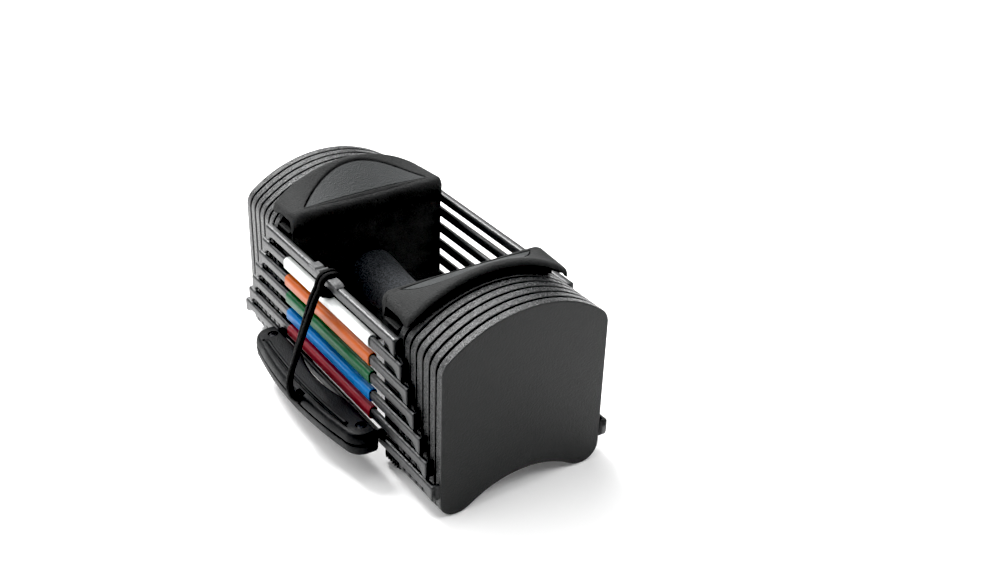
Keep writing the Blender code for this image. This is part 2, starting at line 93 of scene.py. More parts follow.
class Nodes:
    """Short ways to add and join shader nodes."""

    def __init__(self, name):
        self.material = bpy.data.materials.new(name)
        self.material.use_nodes = True
        self.tree = self.material.node_tree
        self.shader = self.tree.nodes["Principled BSDF"]

    def add(self, kind, **values):
        node = self.tree.nodes.new(kind)
        for key, value in values.items():
            if key in node.inputs:
                node.inputs[key].default_value = value
            else:
                setattr(node, key, value)
        return node

    def link(self, out, into):
        self.tree.links.new(out, into)

    def place(self):
        """Where a point lies on its object, in metres."""
        return self.add("ShaderNodeTexCoord").outputs["Object"]

    def noise(self, scale, detail=3.0, rough=0.55, where=None):
        node = self.add("ShaderNodeTexNoise", Scale=scale, Detail=detail, Roughness=rough)
        self.link(where or self.place(), node.inputs["Vector"])
        return node.outputs["Fac"]

    def cells(self, scale):
        node = self.add("ShaderNodeTexVoronoi", Scale=scale)
        self.link(self.place(), node.inputs["Vector"])
        return node.outputs["Distance"]

    def ramp(self, value, stops):
        """A colour for the value, blended between (place, colour) stops."""
        node = self.add("ShaderNodeValToRGB")
        points = node.color_ramp.elements
        while len(points) < len(stops):
            points.new(0.5)
        for point, (at, colour) in zip(points, stops):
            point.position = at
            point.color = (*colour, 1)
        self.link(value, node.inputs["Fac"])
        return node.outputs["Color"]

    def spread(self, value, low, high, start=0.3, stop=0.7):
        """The value between start and stop, stretched to lie between low and high."""
        node = self.add("ShaderNodeMapRange")
        ends = {"From Min": start, "From Max": stop, "To Min": low, "To Max": high}
        for key, number in ends.items():
            node.inputs[key].default_value = number
        self.link(value, node.inputs["Value"])
        return node.outputs["Result"]

    def total(self, one, two, share):
        """Two values blended, with this share of the second."""
        node = self.add("ShaderNodeMix", data_type="FLOAT")
        node.inputs["Factor"].default_value = share
        self.link(one, node.inputs["A"])
        self.link(two, node.inputs["B"])
        return node.outputs["Result"]

    def bump(self, height, depth, strength=1.0):
        """Relief from a height value, depth in metres."""
        node = self.add("ShaderNodeBump", Strength=strength, Distance=depth)
        self.link(height, node.inputs["Height"])
        self.link(node.outputs["Normal"], self.shader.inputs["Normal"])
        return node

    def base(self, colour):
        self.link(colour, self.shader.inputs["Base Color"])

    def roughness(self, value):
        self.link(value, self.shader.inputs["Roughness"])

    def set(self, **values):
        for key, value in values.items():
            self.shader.inputs[key.replace("_", " ")].default_value = value
        return self


def shade(colour, factor):
    """A colour made lighter or darker by a factor."""
    return tuple(c * factor for c in colour)


def powder_coat(name, colour, painted_light_side_colour, grain, depth, rough, edge_rough):
    """Baked powder paint: matt on faces that look along the handle, glossier and more grained elsewhere,
    where a second colour paints in the light and shade that those sides get.
    """
    n = Nodes(name)
    fine, broad = n.noise(grain, 2.0), n.noise(grain / 9, 4.0)
    tone = n.total(fine, broad, 0.5)
    facing = n.add("ShaderNodeSeparateXYZ")
    n.link(n.add("ShaderNodeTexCoord").outputs["Normal"], facing.inputs["Vector"])
    size = n.add("ShaderNodeMath", operation="ABSOLUTE")
    n.link(facing.outputs["Y"], size.inputs[0])
    edge = n.spread(size.outputs["Value"], 1.0, 0.0, 0.45, 0.96)
    # Faces turned away from the handle's axis take the second colour, which is painted light and shade, not
    # the paint's own colour.
    paint = n.add("ShaderNodeMix", data_type="RGBA")
    n.link(edge, paint.inputs["Factor"])
    for socket, tint in (("A", colour), ("B", painted_light_side_colour)):
        tones = n.ramp(tone, [(0.3, shade(tint, 0.84)), (0.7, shade(tint, 1.16))])
        n.link(tones, [i for i in paint.inputs if i.name == socket and i.type == "RGBA"][0])
    n.base([o for o in paint.outputs if o.type == "RGBA"][0])
    gloss = n.add("ShaderNodeMix", data_type="FLOAT")
    n.link(edge, gloss.inputs["Factor"])
    n.link(n.spread(tone, *rough), gloss.inputs["A"])
    n.link(n.spread(tone, *edge_rough), gloss.inputs["B"])
    n.roughness(gloss.outputs["Result"])
    bump = n.bump(n.total(fine, n.noise(grain / 2.3, 2.0), 0.4), depth)
    n.link(n.spread(edge, 0.35, 1.0, 0.0, 1.0), bump.inputs["Strength"])
    n.link(n.spread(edge, 0.28, 0.7, 0.0, 1.0), n.shader.inputs["Specular IOR Level"])
    return n.material


def moulding(name, colour, grain, depth, rough, spec):
    """Moulded plastic with a spark-eroded grain and faint handling marks."""
    n = Nodes(name)
    cells, broad = n.cells(grain), n.noise(60, 4.0, 0.6)
    tone = n.total(cells, broad, 0.7)
    n.base(n.ramp(tone, [(0.25, shade(colour, 0.82)), (0.75, shade(colour, 1.2))]))
    n.roughness(n.spread(broad, *rough))
    n.bump(n.total(cells, n.noise(grain * 0.6, 2.0), 0.4), depth, 0.6)
    return n.set(Specular_IOR_Level=spec).material


def satin_plastic(name, colour):
    """Extruded sleeve: nearly even colour, a satin skin with faint lengthwise streaks."""
    n = Nodes(name)
    stretch = n.add("ShaderNodeMapping")
    stretch.inputs["Scale"].default_value = (1.0, 0.06, 1.0)
    n.link(n.place(), stretch.inputs["Vector"])
    streaks = n.noise(500, 3.0, 0.5, stretch.outputs["Vector"])
    cloud = n.noise(90, 3.0)
    tone = n.total(streaks, cloud, 0.6)
    n.base(n.ramp(tone, [(0.3, shade(colour, 0.9)), (0.7, shade(colour, 1.06))]))
    n.roughness(n.spread(cloud, 0.3, 0.44))
    n.bump(streaks, 0.00008, 0.5)
    return n.set(Specular_IOR_Level=0.32).material


def foam(name, colour):
    """Closed-cell foam rubber, rough and pitted."""
    n = Nodes(name)
    cells, lumps = n.cells(1000), n.noise(800, 4.0, 0.75)
    tone = n.total(cells, lumps, 0.6)
    n.base(n.ramp(tone, [(0.36, shade(colour, 0.25)), (0.6, shade(colour, 3.4))]))
    n.roughness(n.spread(lumps, 0.78, 0.95))
    n.bump(tone, 0.0006, 0.9)
    return n.set(Specular_IOR_Level=0.25, Sheen_Weight=0.04, Sheen_Roughness=0.6).material


def bare_metal(name, colour, rough):
    """Drawn metal with fine lines round it."""
    n = Nodes(name)
    stretch = n.add("ShaderNodeMapping")
    stretch.inputs["Scale"].default_value = (0.05, 1.0, 1.0)
    n.link(n.place(), stretch.inputs["Vector"])
    lines = n.noise(2500, 3.0, 0.6, stretch.outputs["Vector"])
    n.base(n.ramp(n.noise(150, 3.0), [(0.3, shade(colour, 0.85)), (0.7, colour)]))
    n.roughness(n.spread(lines, rough * 0.8, rough * 1.3))
    n.bump(lines, 0.00003, 0.4)
    return n.set(Metallic=1.0).material


def braid(name, colour):
    """A woven cover: fine diagonal yarns both ways round the cord."""
    n = Nodes(name)
    yarns = n.cells(1500)
    n.base(n.ramp(yarns, [(0.2, shade(colour, 1.6)), (0.7, shade(colour, 0.5))]))
    n.roughness(n.spread(n.noise(700), 0.6, 0.8))
    n.bump(yarns, 0.0005, 0.8)
    return n.set(Specular_IOR_Level=0.2).material


PLATE = powder_coat(
    "plate_coat",
    colour=(0.0150, 0.0156, 0.0156),
    # The second colour is painted light: a lighter tone for the lit sides and crowns of the plates.
    painted_light_side_colour=(0.0165, 0.0173, 0.0179),
    grain=1500,
    depth=0.0010,
    rough=(0.4, 0.55),
    edge_rough=(0.2, 0.34),
)
RAIL = powder_coat(
    "rail_coat",
    colour=(0.0165, 0.0173, 0.0178),
    # The second colour is painted shade: a darker tone for the rails' tops and sides.
    painted_light_side_colour=(0.0145, 0.0153, 0.0162),
    grain=1050,
    depth=0.0004,
    rough=(0.34, 0.46),
    edge_rough=(0.3, 0.44),
)
CORE = moulding("core_black", (0.0370, 0.0375, 0.0375), 1000, 0.0011, (0.6, 0.75), 0.03)
BADGE = moulding("badge_grey", (0.045, 0.0470, 0.0477), 1100, 0.0012, (0.55, 0.75), 0.15)
FOAM = foam("grip_foam", (0.0082, 0.0090, 0.0101))
STEEL = bare_metal("steel", (0.42, 0.42, 0.43), 0.3)
BLACK_SCREW = bare_metal("screw_black", (0.035, 0.035, 0.037), 0.3)
PIN = moulding("pin_black", (0.0024, 0.0027, 0.0031), 1100, 0.0004, (0.42, 0.6), 0.15)
CORD = braid("cord_black", (0.0016, 0.0016, 0.0017))
BANDS = {
    2: ("band_white", (0.84, 0.86, 0.85)),
    3: ("band_orange", (0.41, 0.092, 0.022)),
    4: ("band_green", (0.011, 0.083, 0.033)),
    5: ("band_blue", (0.003, 0.125, 0.36)),
    6: ("band_red", (0.215, 0.027, 0.036)),
}


# Mesh helpers


def arc(centre, radius, start, end, steps):
    """Points on an arc from one angle to another, in degrees."""
    turns = [radians(start + (end - start) * i / steps) for i in range(steps + 1)]
    return [(centre[0] + radius * cos(a), centre[1] + radius * sin(a)) for a in turns]


def between(start, stop, steps):
    """Evenly spaced numbers, both ends included."""
    return [start + (stop - start) * i / steps for i in range(steps + 1)]


def rounded_box(x0, y0, x1, y1, radius, steps=4):
    """A rectangle with rounded corners."""
    corners = (
        (x1 - radius, y0 + radius, -90),
        (x1 - radius, y1 - radius, 0),
        (x0 + radius, y1 - radius, 90),
        (x0 + radius, y0 + radius, 180),
    )
    return [p for x, y, a in corners for p in arc((x, y), radius, a, a + 90, steps)]


def finished(work, name):
    """Cleans a mesh built in millimetres and gives it out in metres."""
    bmesh.ops.remove_doubles(work, verts=work.verts, dist=1e-4)
    bmesh.ops.recalc_face_normals(work, faces=work.faces)
    bmesh.ops.scale(work, vec=(MM, MM, MM), verts=work.verts)
    mesh = bpy.data.meshes.new(name)
    work.to_mesh(mesh)
    work.free()
    mesh.shade_smooth()
    return mesh


def loft(name, sections, closed=False, joined=True):
    """A skin through sections of equally many points, closed from last to first, each joined into a ring."""
    work = bmesh.new()
    rings = [[work.verts.new(p) for p in section] for section in sections]
    pairs = list(zip(rings, rings[1:] + rings[:1] if closed else rings[1:]))
    count = len(rings[0])
    for one, two in pairs:
        for i in range(count if joined else count - 1):
            j = (i + 1) % count
            work.faces.new((one[i], one[j], two[j], two[i]))
    if not closed:
        work.faces.new(rings[0])
        work.faces.new(rings[-1])
    return finished(work, name)


def prism(name, outline, low, high, axis):
    """A flat outline pushed along an axis: X takes (y, z), Y takes (x, z) and Z takes (x, y)."""
    at = {
        "X": lambda p, h: (h, *p),
        "Y": lambda p, h: (p[0], h, p[1]),
        "Z": lambda p, h: (*p, h),
    }[axis]
    return loft(name, [[at(p, h) for p in outline] for h in (low, high)])


def in_scene(name, data):
    """A new object in the scene."""
    obj = bpy.data.objects.new(name, data)
    bpy.context.scene.collection.objects.link(obj)
    return obj


def show(name, mesh, material, body, stands_for=(), turn=0.0):
    """Adds a piece in the core's frame, riding on a body."""
    obj = in_scene(name, mesh)
    obj.location.x = CORE_X
    obj.rotation_euler.z = turn
    if not mesh.materials:
        mesh.materials.append(material)
    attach(obj, body)
    if stands_for:
        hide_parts(*stands_for)
    return obj


def soften(obj, width, segments=3, angle=40):
    """Rounds the sharp edges and keeps large faces flat."""
    bevel = obj.modifiers.new("edges", "BEVEL")
    bevel.width = width * MM
    bevel.segments = segments
    bevel.limit_method = "ANGLE"
    bevel.angle_limit = radians(angle)
    flat = obj.modifiers.new("flat_faces", "WEIGHTED_NORMAL")
    flat.keep_sharp = True
    return obj


def carve(obj, *tools):
    """Cuts tools out of a piece and removes them."""
    for tool in tools:
        cut = obj.modifiers.new("cut", "BOOLEAN")
        cut.operation = "DIFFERENCE"
        cut.object = tool
    bpy.context.view_layer.update()
    graph = bpy.context.evaluated_depsgraph_get()
    mesh = bpy.data.meshes.new_from_object(obj.evaluated_get(graph))
    obj.modifiers.clear()
    obj.data = mesh
    for tool in tools:
        bpy.data.objects.remove(tool, do_unlink=True)
    mesh.shade_smooth()
    mesh.set_sharp_from_angle(angle=radians(35))
    return obj


def tool(mesh):
    """A shape to cut with, in the core's frame."""
    obj = in_scene("tool", mesh)
    obj.location.x = CORE_X
    return obj


def turned(name, profile, centre, axis, steps):
    """A closed profile of (radius, height) turned about an axis through centre."""
    rings = []
    for i in range(steps):
        a = 2 * pi * i / steps
        ring = []
        for r, h in profile:
            p, q = r * cos(a), r * sin(a)
            x, y, z = {"X": (h, p, q), "Y": (q, h, p), "Z": (p, q, h)}[axis]
            ring.append((centre[0] + x, centre[1] + y, centre[2] + z))
        rings.append(ring)
    return loft(name, rings, closed=True, joined=profile[0][0] > 0 or profile[-1][0] > 0)


def swept(name, path, section):
    """A section of (side, up) points carried along a path of points, its ends closed."""
    points = [Vector(p) for p in path]
    rings, side = [], None
    for i, point in enumerate(points):
        ahead = points[min(i + 1, len(points) - 1)] - points[max(i - 1, 0)]
        ahead.normalize()
        if side is None:
            side = ahead.cross(Vector((0, 0, 1)) if abs(ahead.z) < 0.9 else Vector((0, 1, 0)))
        side = (side - ahead * side.dot(ahead)).normalized()
        up = side.cross(ahead)
        rings.append([tuple(point + side * a + up * b) for a, b in section])
    return loft(name, rings)


def smooth(knots, step):
    """Points about a step apart on a smooth curve through the knots."""
    knots = [Vector(k) for k in knots]
    ends = [2 * knots[0] - knots[1]] + knots + [2 * knots[-1] - knots[-2]]
    points = []
    for a, b, c, d in zip(ends, ends[1:], ends[2:], ends[3:]):
        count = max(1, round((c - b).length / step))
        for i in range(count):
            t = i / count
            bend = (2 * a - 5 * b + 4 * c - d) * t * t + (3 * b - a - 3 * c + d) * t**3
            points.append(tuple(b + ((c - a) * t + bend) / 2))
    return points + [tuple(knots[-1])]


def pair_y(pair):
    """How far out a pair's plates end."""
    return END_Y - (PAIRS - pair) * PLATE_PITCH


def rail_top(pair):
    """The height of a pair's rails: the further out the plates, the lower the rails."""
    return RAIL_TOP - RAIL_PITCH * (pair - 1)


# Weight pairs


def plate_outline():
    """A plate seen along the handle: two feet, an arch between them, round shoulders, a shallow crown."""
    foot_arch_r = (FOOT_X**2 + ARCH_Z**2) / (2 * ARCH_Z)
    low = ARCH_Z - foot_arch_r
    spread = asin(FOOT_X / foot_arch_r)
    last = spread * ARCH_SHARE
    arch = [(foot_arch_r * sin(a), low + foot_arch_r * cos(a)) for a in between(0, last, 18)]
    (x, z), flat = arch[-1], FOOT_X + FOOT_FLAT
    bend = x + z / tan(last)
    for t in between(0, 1, 8)[1:]:
        arch.append((x * (1 - t) ** 2 + 2 * bend * t * (1 - t) + flat * t * t, z * (1 - t) ** 2))
    foot = arc((PLATE_HALF - FOOT_R, FOOT_R), FOOT_R, -90, 0, 12)
    shoulder_x = PLATE_HALF - SHOULDER_R
    rise = PLATE_TOP - SHOULDER_Z
    crown_r = (shoulder_x**2 + rise**2 - SHOULDER_R**2) / (2 * (rise - SHOULDER_R))
    meet = atan2(SHOULDER_Z - (PLATE_TOP - crown_r), shoulder_x) * 180 / pi
    shoulder = arc((shoulder_x, SHOULDER_Z), SHOULDER_R, 0, meet, 12)
    crown = arc((0, PLATE_TOP - crown_r), crown_r, meet, 90, 30)
    right = arch[1:] + foot + shoulder + crown[1:-1]
    return [(0, ARCH_Z)] + right + [(0, PLATE_TOP)] + [(-x, z) for x, z in reversed(right)]


def make_plates():
    """Two plates to each pair, nested end to end."""
    outline = plate_outline()
    for pair in range(1, PAIRS + 1):
        for end, side in SIDES:
            outer = side * pair_y(pair)
            name = f"weight_{pair}_plate_{end}"
            mesh = prism(f"{name}_shape", outline, outer, outer - side * PLATE_THICK, "Y")
            piece = show(f"{name}_painted", mesh, PLATE, f"weight_{pair}", [name])
            soften(piece, PLATE_ROUND)


def rail_stations(pair):
    """Half of a rail from its tab's tip to the middle: outer point, inner point and lower edge."""
    end, tab_low = pair_y(pair), rail_top(pair) - TAB_TALL
    low = rail_top(pair) - RAIL_TALL
    thick = TOP_RAIL_THICK if pair == 1 else RAIL_THICK
    behind = end - RAIL_SHEET
    tip_x = PLATE_HALF + 0.3
    rows = [((tip_x, end), (tip_x, behind), tab_low + 0.8)]
    centre = (RAIL_OUT - RAIL_BEND, end - RAIL_BEND)
    elbow_x = RAIL_OUT - thick
    rows.append(((centre[0], end), (elbow_x - 0.4, behind), tab_low + 0.4))
    corner = 4.0 if pair == PAIRS else 2.0
    for i, outer in enumerate(arc(centre, RAIL_BEND, 90, 0, 5)):
        inner = (elbow_x - 0.3 + 0.06 * i, behind - 0.06 * i)
        past = max(0.0, outer[0] - (RAIL_OUT - corner))
        rise = corner * 0.5 * (1 - sqrt(max(0, 1 - (past / corner) ** 2)))
        rows.append((outer, inner, tab_low + rise))
    start, stop = end - FLARE, behind - 0.9
    low_end = rows[-1][2]
    for share in between(1, 0, 10):
        y = start + (stop - start) * share
        z = low - (low - low_end) * (1 - cos(share**FLARE_POWER * pi / 2))
        rows.append(((RAIL_OUT, y), (elbow_x, y), z))
    rows.append(((RAIL_OUT, 0.0), (elbow_x, 0.0), low))
    return rows


def strap_section(outer, inner, low, top):
    """The strap's rounded section at one station."""
    out, into = Vector(outer), Vector(inner)
    width = (out - into).length
    along = (out - into) / width
    ring = rounded_box(0, low, width, top, min(RAIL_ROUND, width * 0.47), 5)
    return [(*(into + along * u), z) for u, z in ring]


def make_rails():
    """Both rails of each pair; the left one is the right one turned round."""
    for pair in range(1, PAIRS + 1):
        top = rail_top(pair)
        half = [strap_section(outer, inner, low, top) for outer, inner, low in rail_stations(pair)]
        other = [[(x, -y, z) for x, y, z in section] for section in reversed(half[:-1])]
        sections = half + other
        for name, turn in (("left", pi), ("right", 0.0)):
            node = f"weight_{pair}_rail_{name}"
            mesh = loft(f"{node}_shape", sections)
            show(f"{node}_painted", mesh, RAIL, f"weight_{pair}", [node], turn)


def make_bands():
    """Colour sleeves pushed over the left rails, open at both ends."""
    x, mouth = -(RAIL_OUT - 2.0), BAND_HALF - 0.2
    for pair, (slot, colour) in BANDS.items():
        z = rail_top(pair) - RAIL_TALL / 2
        outer = rounded_box(x - BAND_WIDE, z - BAND_TALL, x + BAND_WIDE, z + BAND_TALL, BAND_ROUND, 8)
        inner = rounded_box(x - BORE_WIDE, z - BORE_TALL, x + BORE_WIDE, z + BORE_TALL, BORE_ROUND, 8)
        rings = []
        for ring, lengths in ((outer, (-mouth, mouth)), (inner, (BAND_HALF, -BAND_HALF))):
            rings += [[(px, y, pz) for px, pz in ring] for y in lengths]
        mesh = loft(f"band_{pair}_shape", rings, closed=True)
        material = satin_plastic(slot, colour)
        piece = show(f"band_{pair}_sleeve", mesh, material, f"weight_{pair}", [f"band_{pair}"])
        soften(piece, 0.15, 2, 60)


# Core


def ridge_z(x):
    """The height of the cap's ridge at a place across it."""
    return max(ROOF_LEAST_Z, RIDGE_TOP - RIDGE_R + sqrt(RIDGE_R**2 - x**2))


def roof_slope(x):
    """How steeply the cap's roof climbs from its lip to its ridge."""
    return (ridge_z(x) - ROOF_Z) / (RIDGE_Y - ROOF_Y)


def roof_z(x, y):
    """The height of the cap's roof."""
    return ROOF_Z + roof_slope(x) * (y - ROOF_Y)


def badge_arch(x, grow=0.0):
    """How far up the roof the half-moon reaches at a place across it."""
    return BADGE_Y + sqrt(max(0.0, (BADGE_R + grow) ** 2 - x * x))


def cap_section(x):
    """The cap's section: lip, seam, roof with its sunk half-moon, rounded ridge, underside and seat."""
    past = max(0.0, abs(x) - (CAP_HALF - CAP_END))
    fall = CAP_END - sqrt(max(0.0, CAP_END**2 - past**2))
    inset = fall * 0.55
    lip_y, ridge_y = LIP_Y + inset, RIDGE_Y - inset * 0.5
    slope = atan2(roof_slope(x), 1)
    tilt = 90 + slope * 180 / pi

    def top(y):
        """The roof, dropping away where the cap rounds off at its ends."""
        return roof_z(x, y) - fall * 0.7

    middle_y = lip_y + LIP_R
    middle_z = top(middle_y) - LIP_R / cos(slope)
    meet = middle_y - LIP_R * sin(slope)
    points = arc((middle_y, middle_z), LIP_R, 180, tilt, 9)
    for away, deep in ((0.5, 0), (0.6, 0.3), (0.85, 0.3), (0.95, 0)):
        points.append((meet + away, top(meet + away) - deep))

    low_y, high_y = BADGE_LOW, max(badge_arch(x), BADGE_LOW + BADGE_LEAST)
    sink = BADGE_SINK * min(1.0, (high_y - low_y - BADGE_LEAST) / 2)
    points += [
        (low_y - 0.7, top(low_y - 0.7)),
        (low_y - 0.25, top(low_y) - 0.12),
        (low_y, top(low_y) - 0.45 * sink),
        (low_y + 0.1, top(low_y) - sink),
    ]
    points += [(y, top(y) - sink) for y in between(low_y + 0.25, high_y - 0.25, 6)]
    points += [
        (high_y - 0.1, top(high_y) - sink),
        (high_y, top(high_y) - 0.45 * sink),
        (high_y + 0.3, top(high_y) - 0.12),
        (high_y + 0.9, top(high_y + 0.9)),
    ]

    crest_y = ridge_y - RIDGE_BACK
    points += [(y, top(y)) for y in between(high_y + 0.9, crest_y, 4)[1:]]
    round_y = crest_y + RIDGE_ROUND * sin(slope)
    round_z = top(crest_y) - RIDGE_ROUND * cos(slope)
    points += arc((round_y, round_z), RIDGE_ROUND, tilt - 12, -20, 7)
    low = points[-1][1]
    if abs(x) < CAP_HALF - 5:
        under, seat = SEAT_Z + 0.4, 78.2
        points += [
            (ridge_y - 1.5, max(low - 1.5, under)),
            (seat, max(top(seat) - 5, under)),
            (seat - 0.6, SEAT_Z + 0.2),
            (seat - 1.2, SEAT_Z),
        ]
    else:
        points += [(ridge_y - 1.5, low - 0.3), (76.0, 114.6), (62.6, 114.2), (61.8, 113.2)]
    return points + [(60.6, SEAT_Z), (58.6, SEAT_Z), (lip_y + 0.3, 112.0)]


def make_caps():
    """The moulded caps over the housings, cut closer together where they round off at their ends."""
    ends = [CAP_HALF - CAP_END + CAP_END * sin(a) for a in between(0, pi / 2, 10)]
    right = [46.0, 47.0, 48.3, 49.5] + ends
    across = [-x for x in reversed(right)] + between(-45, 45, 60) + right
    for end, side in SIDES:
        sections = [[(x, side * y, z) for y, z in cap_section(x)] for x in across]
        mesh = loft(f"cap_{end}_shape", sections)
        mesh.set_sharp_from_angle(angle=radians(60))
        show(f"cap_{end}_moulding", mesh, CORE, "core", [f"cap_{end}"])
        make_badge(end, side)


def make_badge(end, side):
    """A blank label plate in the cap's half-moon recess."""
    sections = []
    reach = sqrt(BADGE_R**2 - (BADGE_LOW + 1.0 - BADGE_Y) ** 2) - 0.5
    for x in [reach * sin(a) for a in between(-pi / 2, pi / 2, 60)]:
        low = BADGE_LOW + 0.7
        high = max(low + 0.1, badge_arch(x, -1.2))
        rows = between(low, high, 5)
        face = [(y, roof_z(x, y) - 0.5) for y in rows]
        under = [(y, roof_z(x, y) - 1.5) for y in reversed(rows)]
        sections.append([(x, side * y, z) for y, z in face + under])
    mesh = loft(f"badge_{end}_shape", sections)
    mesh.set_sharp_from_angle(angle=radians(40))
    show(f"badge_{end}_plate", mesh, BADGE, "core", [f"badge_{end}"])


def housing_outline():
    """A housing from the side: an upright wall with a channel for the pin's prongs under each rail."""
    wall, out = HOUSING_IN + HOUSING_WALL, HOUSING_OUT
    points = [(HOUSING_IN, HOUSING_TOP), (HOUSING_IN, HOUSING_LOW), (out, HOUSING_LOW)]
    for pair in reversed(range(1, PAIRS + 1)):
        channel = rail_top(pair) - RAIL_TALL - CHANNEL_DROP
        low, high = channel - CHANNEL_HALF, channel + CHANNEL_HALF
        points += [(out, low), (wall, low), (wall, high), (out, high)]
    return points + [(out, HOUSING_TOP)]


def make_housings():
    """The housings with their bolt holes, and small ledges and ribs at both sides."""
    for end, side in SIDES:
        outline = [(side * y, z) for y, z in housing_outline()]
        mesh = prism(f"housing_{end}_shape", outline, -HOUSING_HALF, HOUSING_HALF, "X")
        piece = show(f"housing_{end}_moulding", mesh, CORE, "core", [f"housing_{end}"])
        back, front = side * -POCKET_HALF, side * POCKET_HALF
        pocket = [(0, back), (POCKET_R, back), (POCKET_R, front), (0, front)]
        hole = [(0, -10), (HOLE_R, -10), (HOLE_R, 10), (0, 10)]
        carve(
            piece,
            tool(turned("pocket", pocket, (0, side * POCKET_Y, HANDLE_Z), "Y", 32)),
            tool(turned("hole", hole, (0, side * HOUSING_IN, HANDLE_Z), "Y", 24)),
        )
        soften(piece, 0.5, 2, 50)
        for way in (-1, 1):
            ends = sorted((way * (HOUSING_HALF - 0.3), way * (HOUSING_HALF + 1.3)))
            ledge = [(62.0, 104.8), (78.0, 104.8), (77.6, 106.7), (62.4, 106.7)]
            mesh = prism("ledge", [(side * y, z) for y, z in ledge], *ends, "X")
            bar = show(f"ledge_{end}_{way + 1}", mesh, CORE, "core")
            soften(bar, 0.5, 2, 30)
            for i in range(RIBS):
                y = side * (RIB_Y + RIB_PITCH * i)
                outline = rounded_box(y - RIB_HALF, RIB_LOW, y + RIB_HALF, RIB_HIGH, 0.4, 2)
                rib = prism("rib", outline, *ends, "X")
                show(f"foot_rib_{end}_{way + 1}_{i}", rib, CORE, "core")


def make_handle():
    """The foam grip, swelling towards its rounded ends."""
    outside = []
    for share in between(1, -1, 60):
        flare = max(0.0, (abs(share) - 0.3) / 0.7)
        swell = GRIP_SWELL * flare * flare * (3 - 2 * flare)
        edge = max(0.0, abs(share) * GRIP_HALF - (GRIP_HALF - GRIP_ROUND))
        rounding = sqrt(GRIP_ROUND**2 - min(edge, GRIP_ROUND) ** 2) - GRIP_ROUND
        outside.append((GRIP_R + swell + rounding, GRIP_HALF * share))
    profile = outside + [(GRIP_BORE, -GRIP_HALF), (GRIP_BORE, GRIP_HALF)]
    mesh = turned("grip_shape", profile, (0, 0, HANDLE_Z), "Y", 72)
    piece = show("grip_sleeve", mesh, FOAM, "core", ["grip"])


# Selector pin


def pin_outline():
    """The handle seen from above: bowed outer edge, round corners and a shallow finger gap inside."""
    half, corner, bow_x, corner_x, inner = 72.0, 12.0, 92.3, 86.5, 67.4
    chord, sagitta = half - corner, bow_x - corner_x
    bow_r = (chord**2 + sagitta**2) / (2 * sagitta)
    spread = asin(chord / bow_r) * 180 / pi
    bow = arc((-(bow_x - bow_r), 0), bow_r, 180 - spread, 180, 24)
    turn = arc((-(corner_x - corner), chord), corner, 90, 180 - spread, 14)
    gap_half, gap_deep = 30.0, 5.0
    gap_r = (gap_half**2 + gap_deep**2) / (2 * gap_deep)
    gap_spread = asin(gap_half / gap_r) * 180 / pi
    gap = arc((-(inner + gap_deep - gap_r), 0), gap_r, 180, 180 - gap_spread, 16)
    nook = arc((-(inner + 3), half - 3), 3, 0, 90, 6)
    upper = gap + nook + turn[1:] + bow[1:]
    return upper + [(x, -y) for x, y in reversed(upper[1:-1])]


def inset(outline, distance):
    """The closed outline moved inwards, corner by corner."""
    area = sum(a[0] * b[1] - b[0] * a[1] for a, b in zip(outline, outline[1:] + outline[:1]))
    way = 1 if area > 0 else -1
    moved = []
    for i, (x, y) in enumerate(outline):
        (ax, ay), (bx, by) = outline[i - 1], outline[(i + 1) % len(outline)]
        first, second = hypot(x - ax, y - ay), hypot(bx - x, by - y)
        nx = -(y - ay) / first - (by - y) / second
        ny = (x - ax) / first + (bx - x) / second
        size = hypot(nx, ny)
        moved.append((x + way * distance * nx / size, y + way * distance * ny / size))
    return moved


def bowed(x_mid, x_end, y_end, z):
    """Points along the handle at a given height, following its bowed outer edge."""
    return [(-(x_mid - (x_mid - x_end) * (y / y_end) ** 2), y, z) for y in between(-y_end, y_end, 40)]


def pin_shell(name, stages):
    """A skin over the handle's outline, moved inwards by a distance at each height."""
    outline = pin_outline()
    return loft(name, [[(x, y, z) for x, y in inset(outline, distance)] for distance, z in stages])


def make_pin_shells():
    """The two shells; the upper one has a groove with a bead in it, the cord's notch and two screw wells."""
    upper = [
        (0.7, PIN_SEAM + 0.25),
        (0.15, PIN_SEAM + 0.8),
        (0.1, 28.6),
        (0.4, 31.2),
        (0.8, 32.6),
        (1.4, 33.7),
        (2.1, 34.3),
        (2.8, PIN_TOP),
    ]
    lower = [
        (2.8, PIN_LOW),
        (2.0, 18.9),
        (1.0, 19.8),
        (0.45, 21.2),
        (0.1, 25.6),
        (0.15, 26.1),
        (0.7, PIN_SEAM - 0.35),
    ]
    shell = pin_shell("pin_upper", upper)
    piece = show("pin_upper_moulding", shell, PIN, "pin", ["pin_shell_upper"])
    shell = pin_shell("pin_lower", lower)
    base = show("pin_lower_moulding", shell, PIN, "pin", ["pin_shell_lower"])
    base.data.set_sharp_from_angle(angle=radians(50))
    groove = [(-0.9, -0.8), (0.9, -0.8), (1.1, 1.2), (-1.1, 1.2)]
    notch = rounded_box(-99, -14, -87.6, -6.2, 1.5)
    tools = [tool(swept("groove", bowed(87.2, 83.2, 58, PIN_TOP), groove))]
    tools.append(tool(prism("notch", notch, 24, 36, "Z")))
    for _, side in SIDES:
        well = [(0, -1.6), (3.3, -1.6), (3.6, 1.0), (0, 1.0)]
        tools.append(tool(turned("well", well, (SCREW_X, side * SCREW_Y, PIN_TOP), "Z", 32)))
    carve(piece, *tools)
    bead = arc((0, 0), 1.25, 0, 360, 12)[:-1]
    ridge = swept("pin_bead", bowed(84.4, 81.2, 55, PIN_TOP - 0.1), bead)
    show("pin_bead", ridge, PIN, "pin")


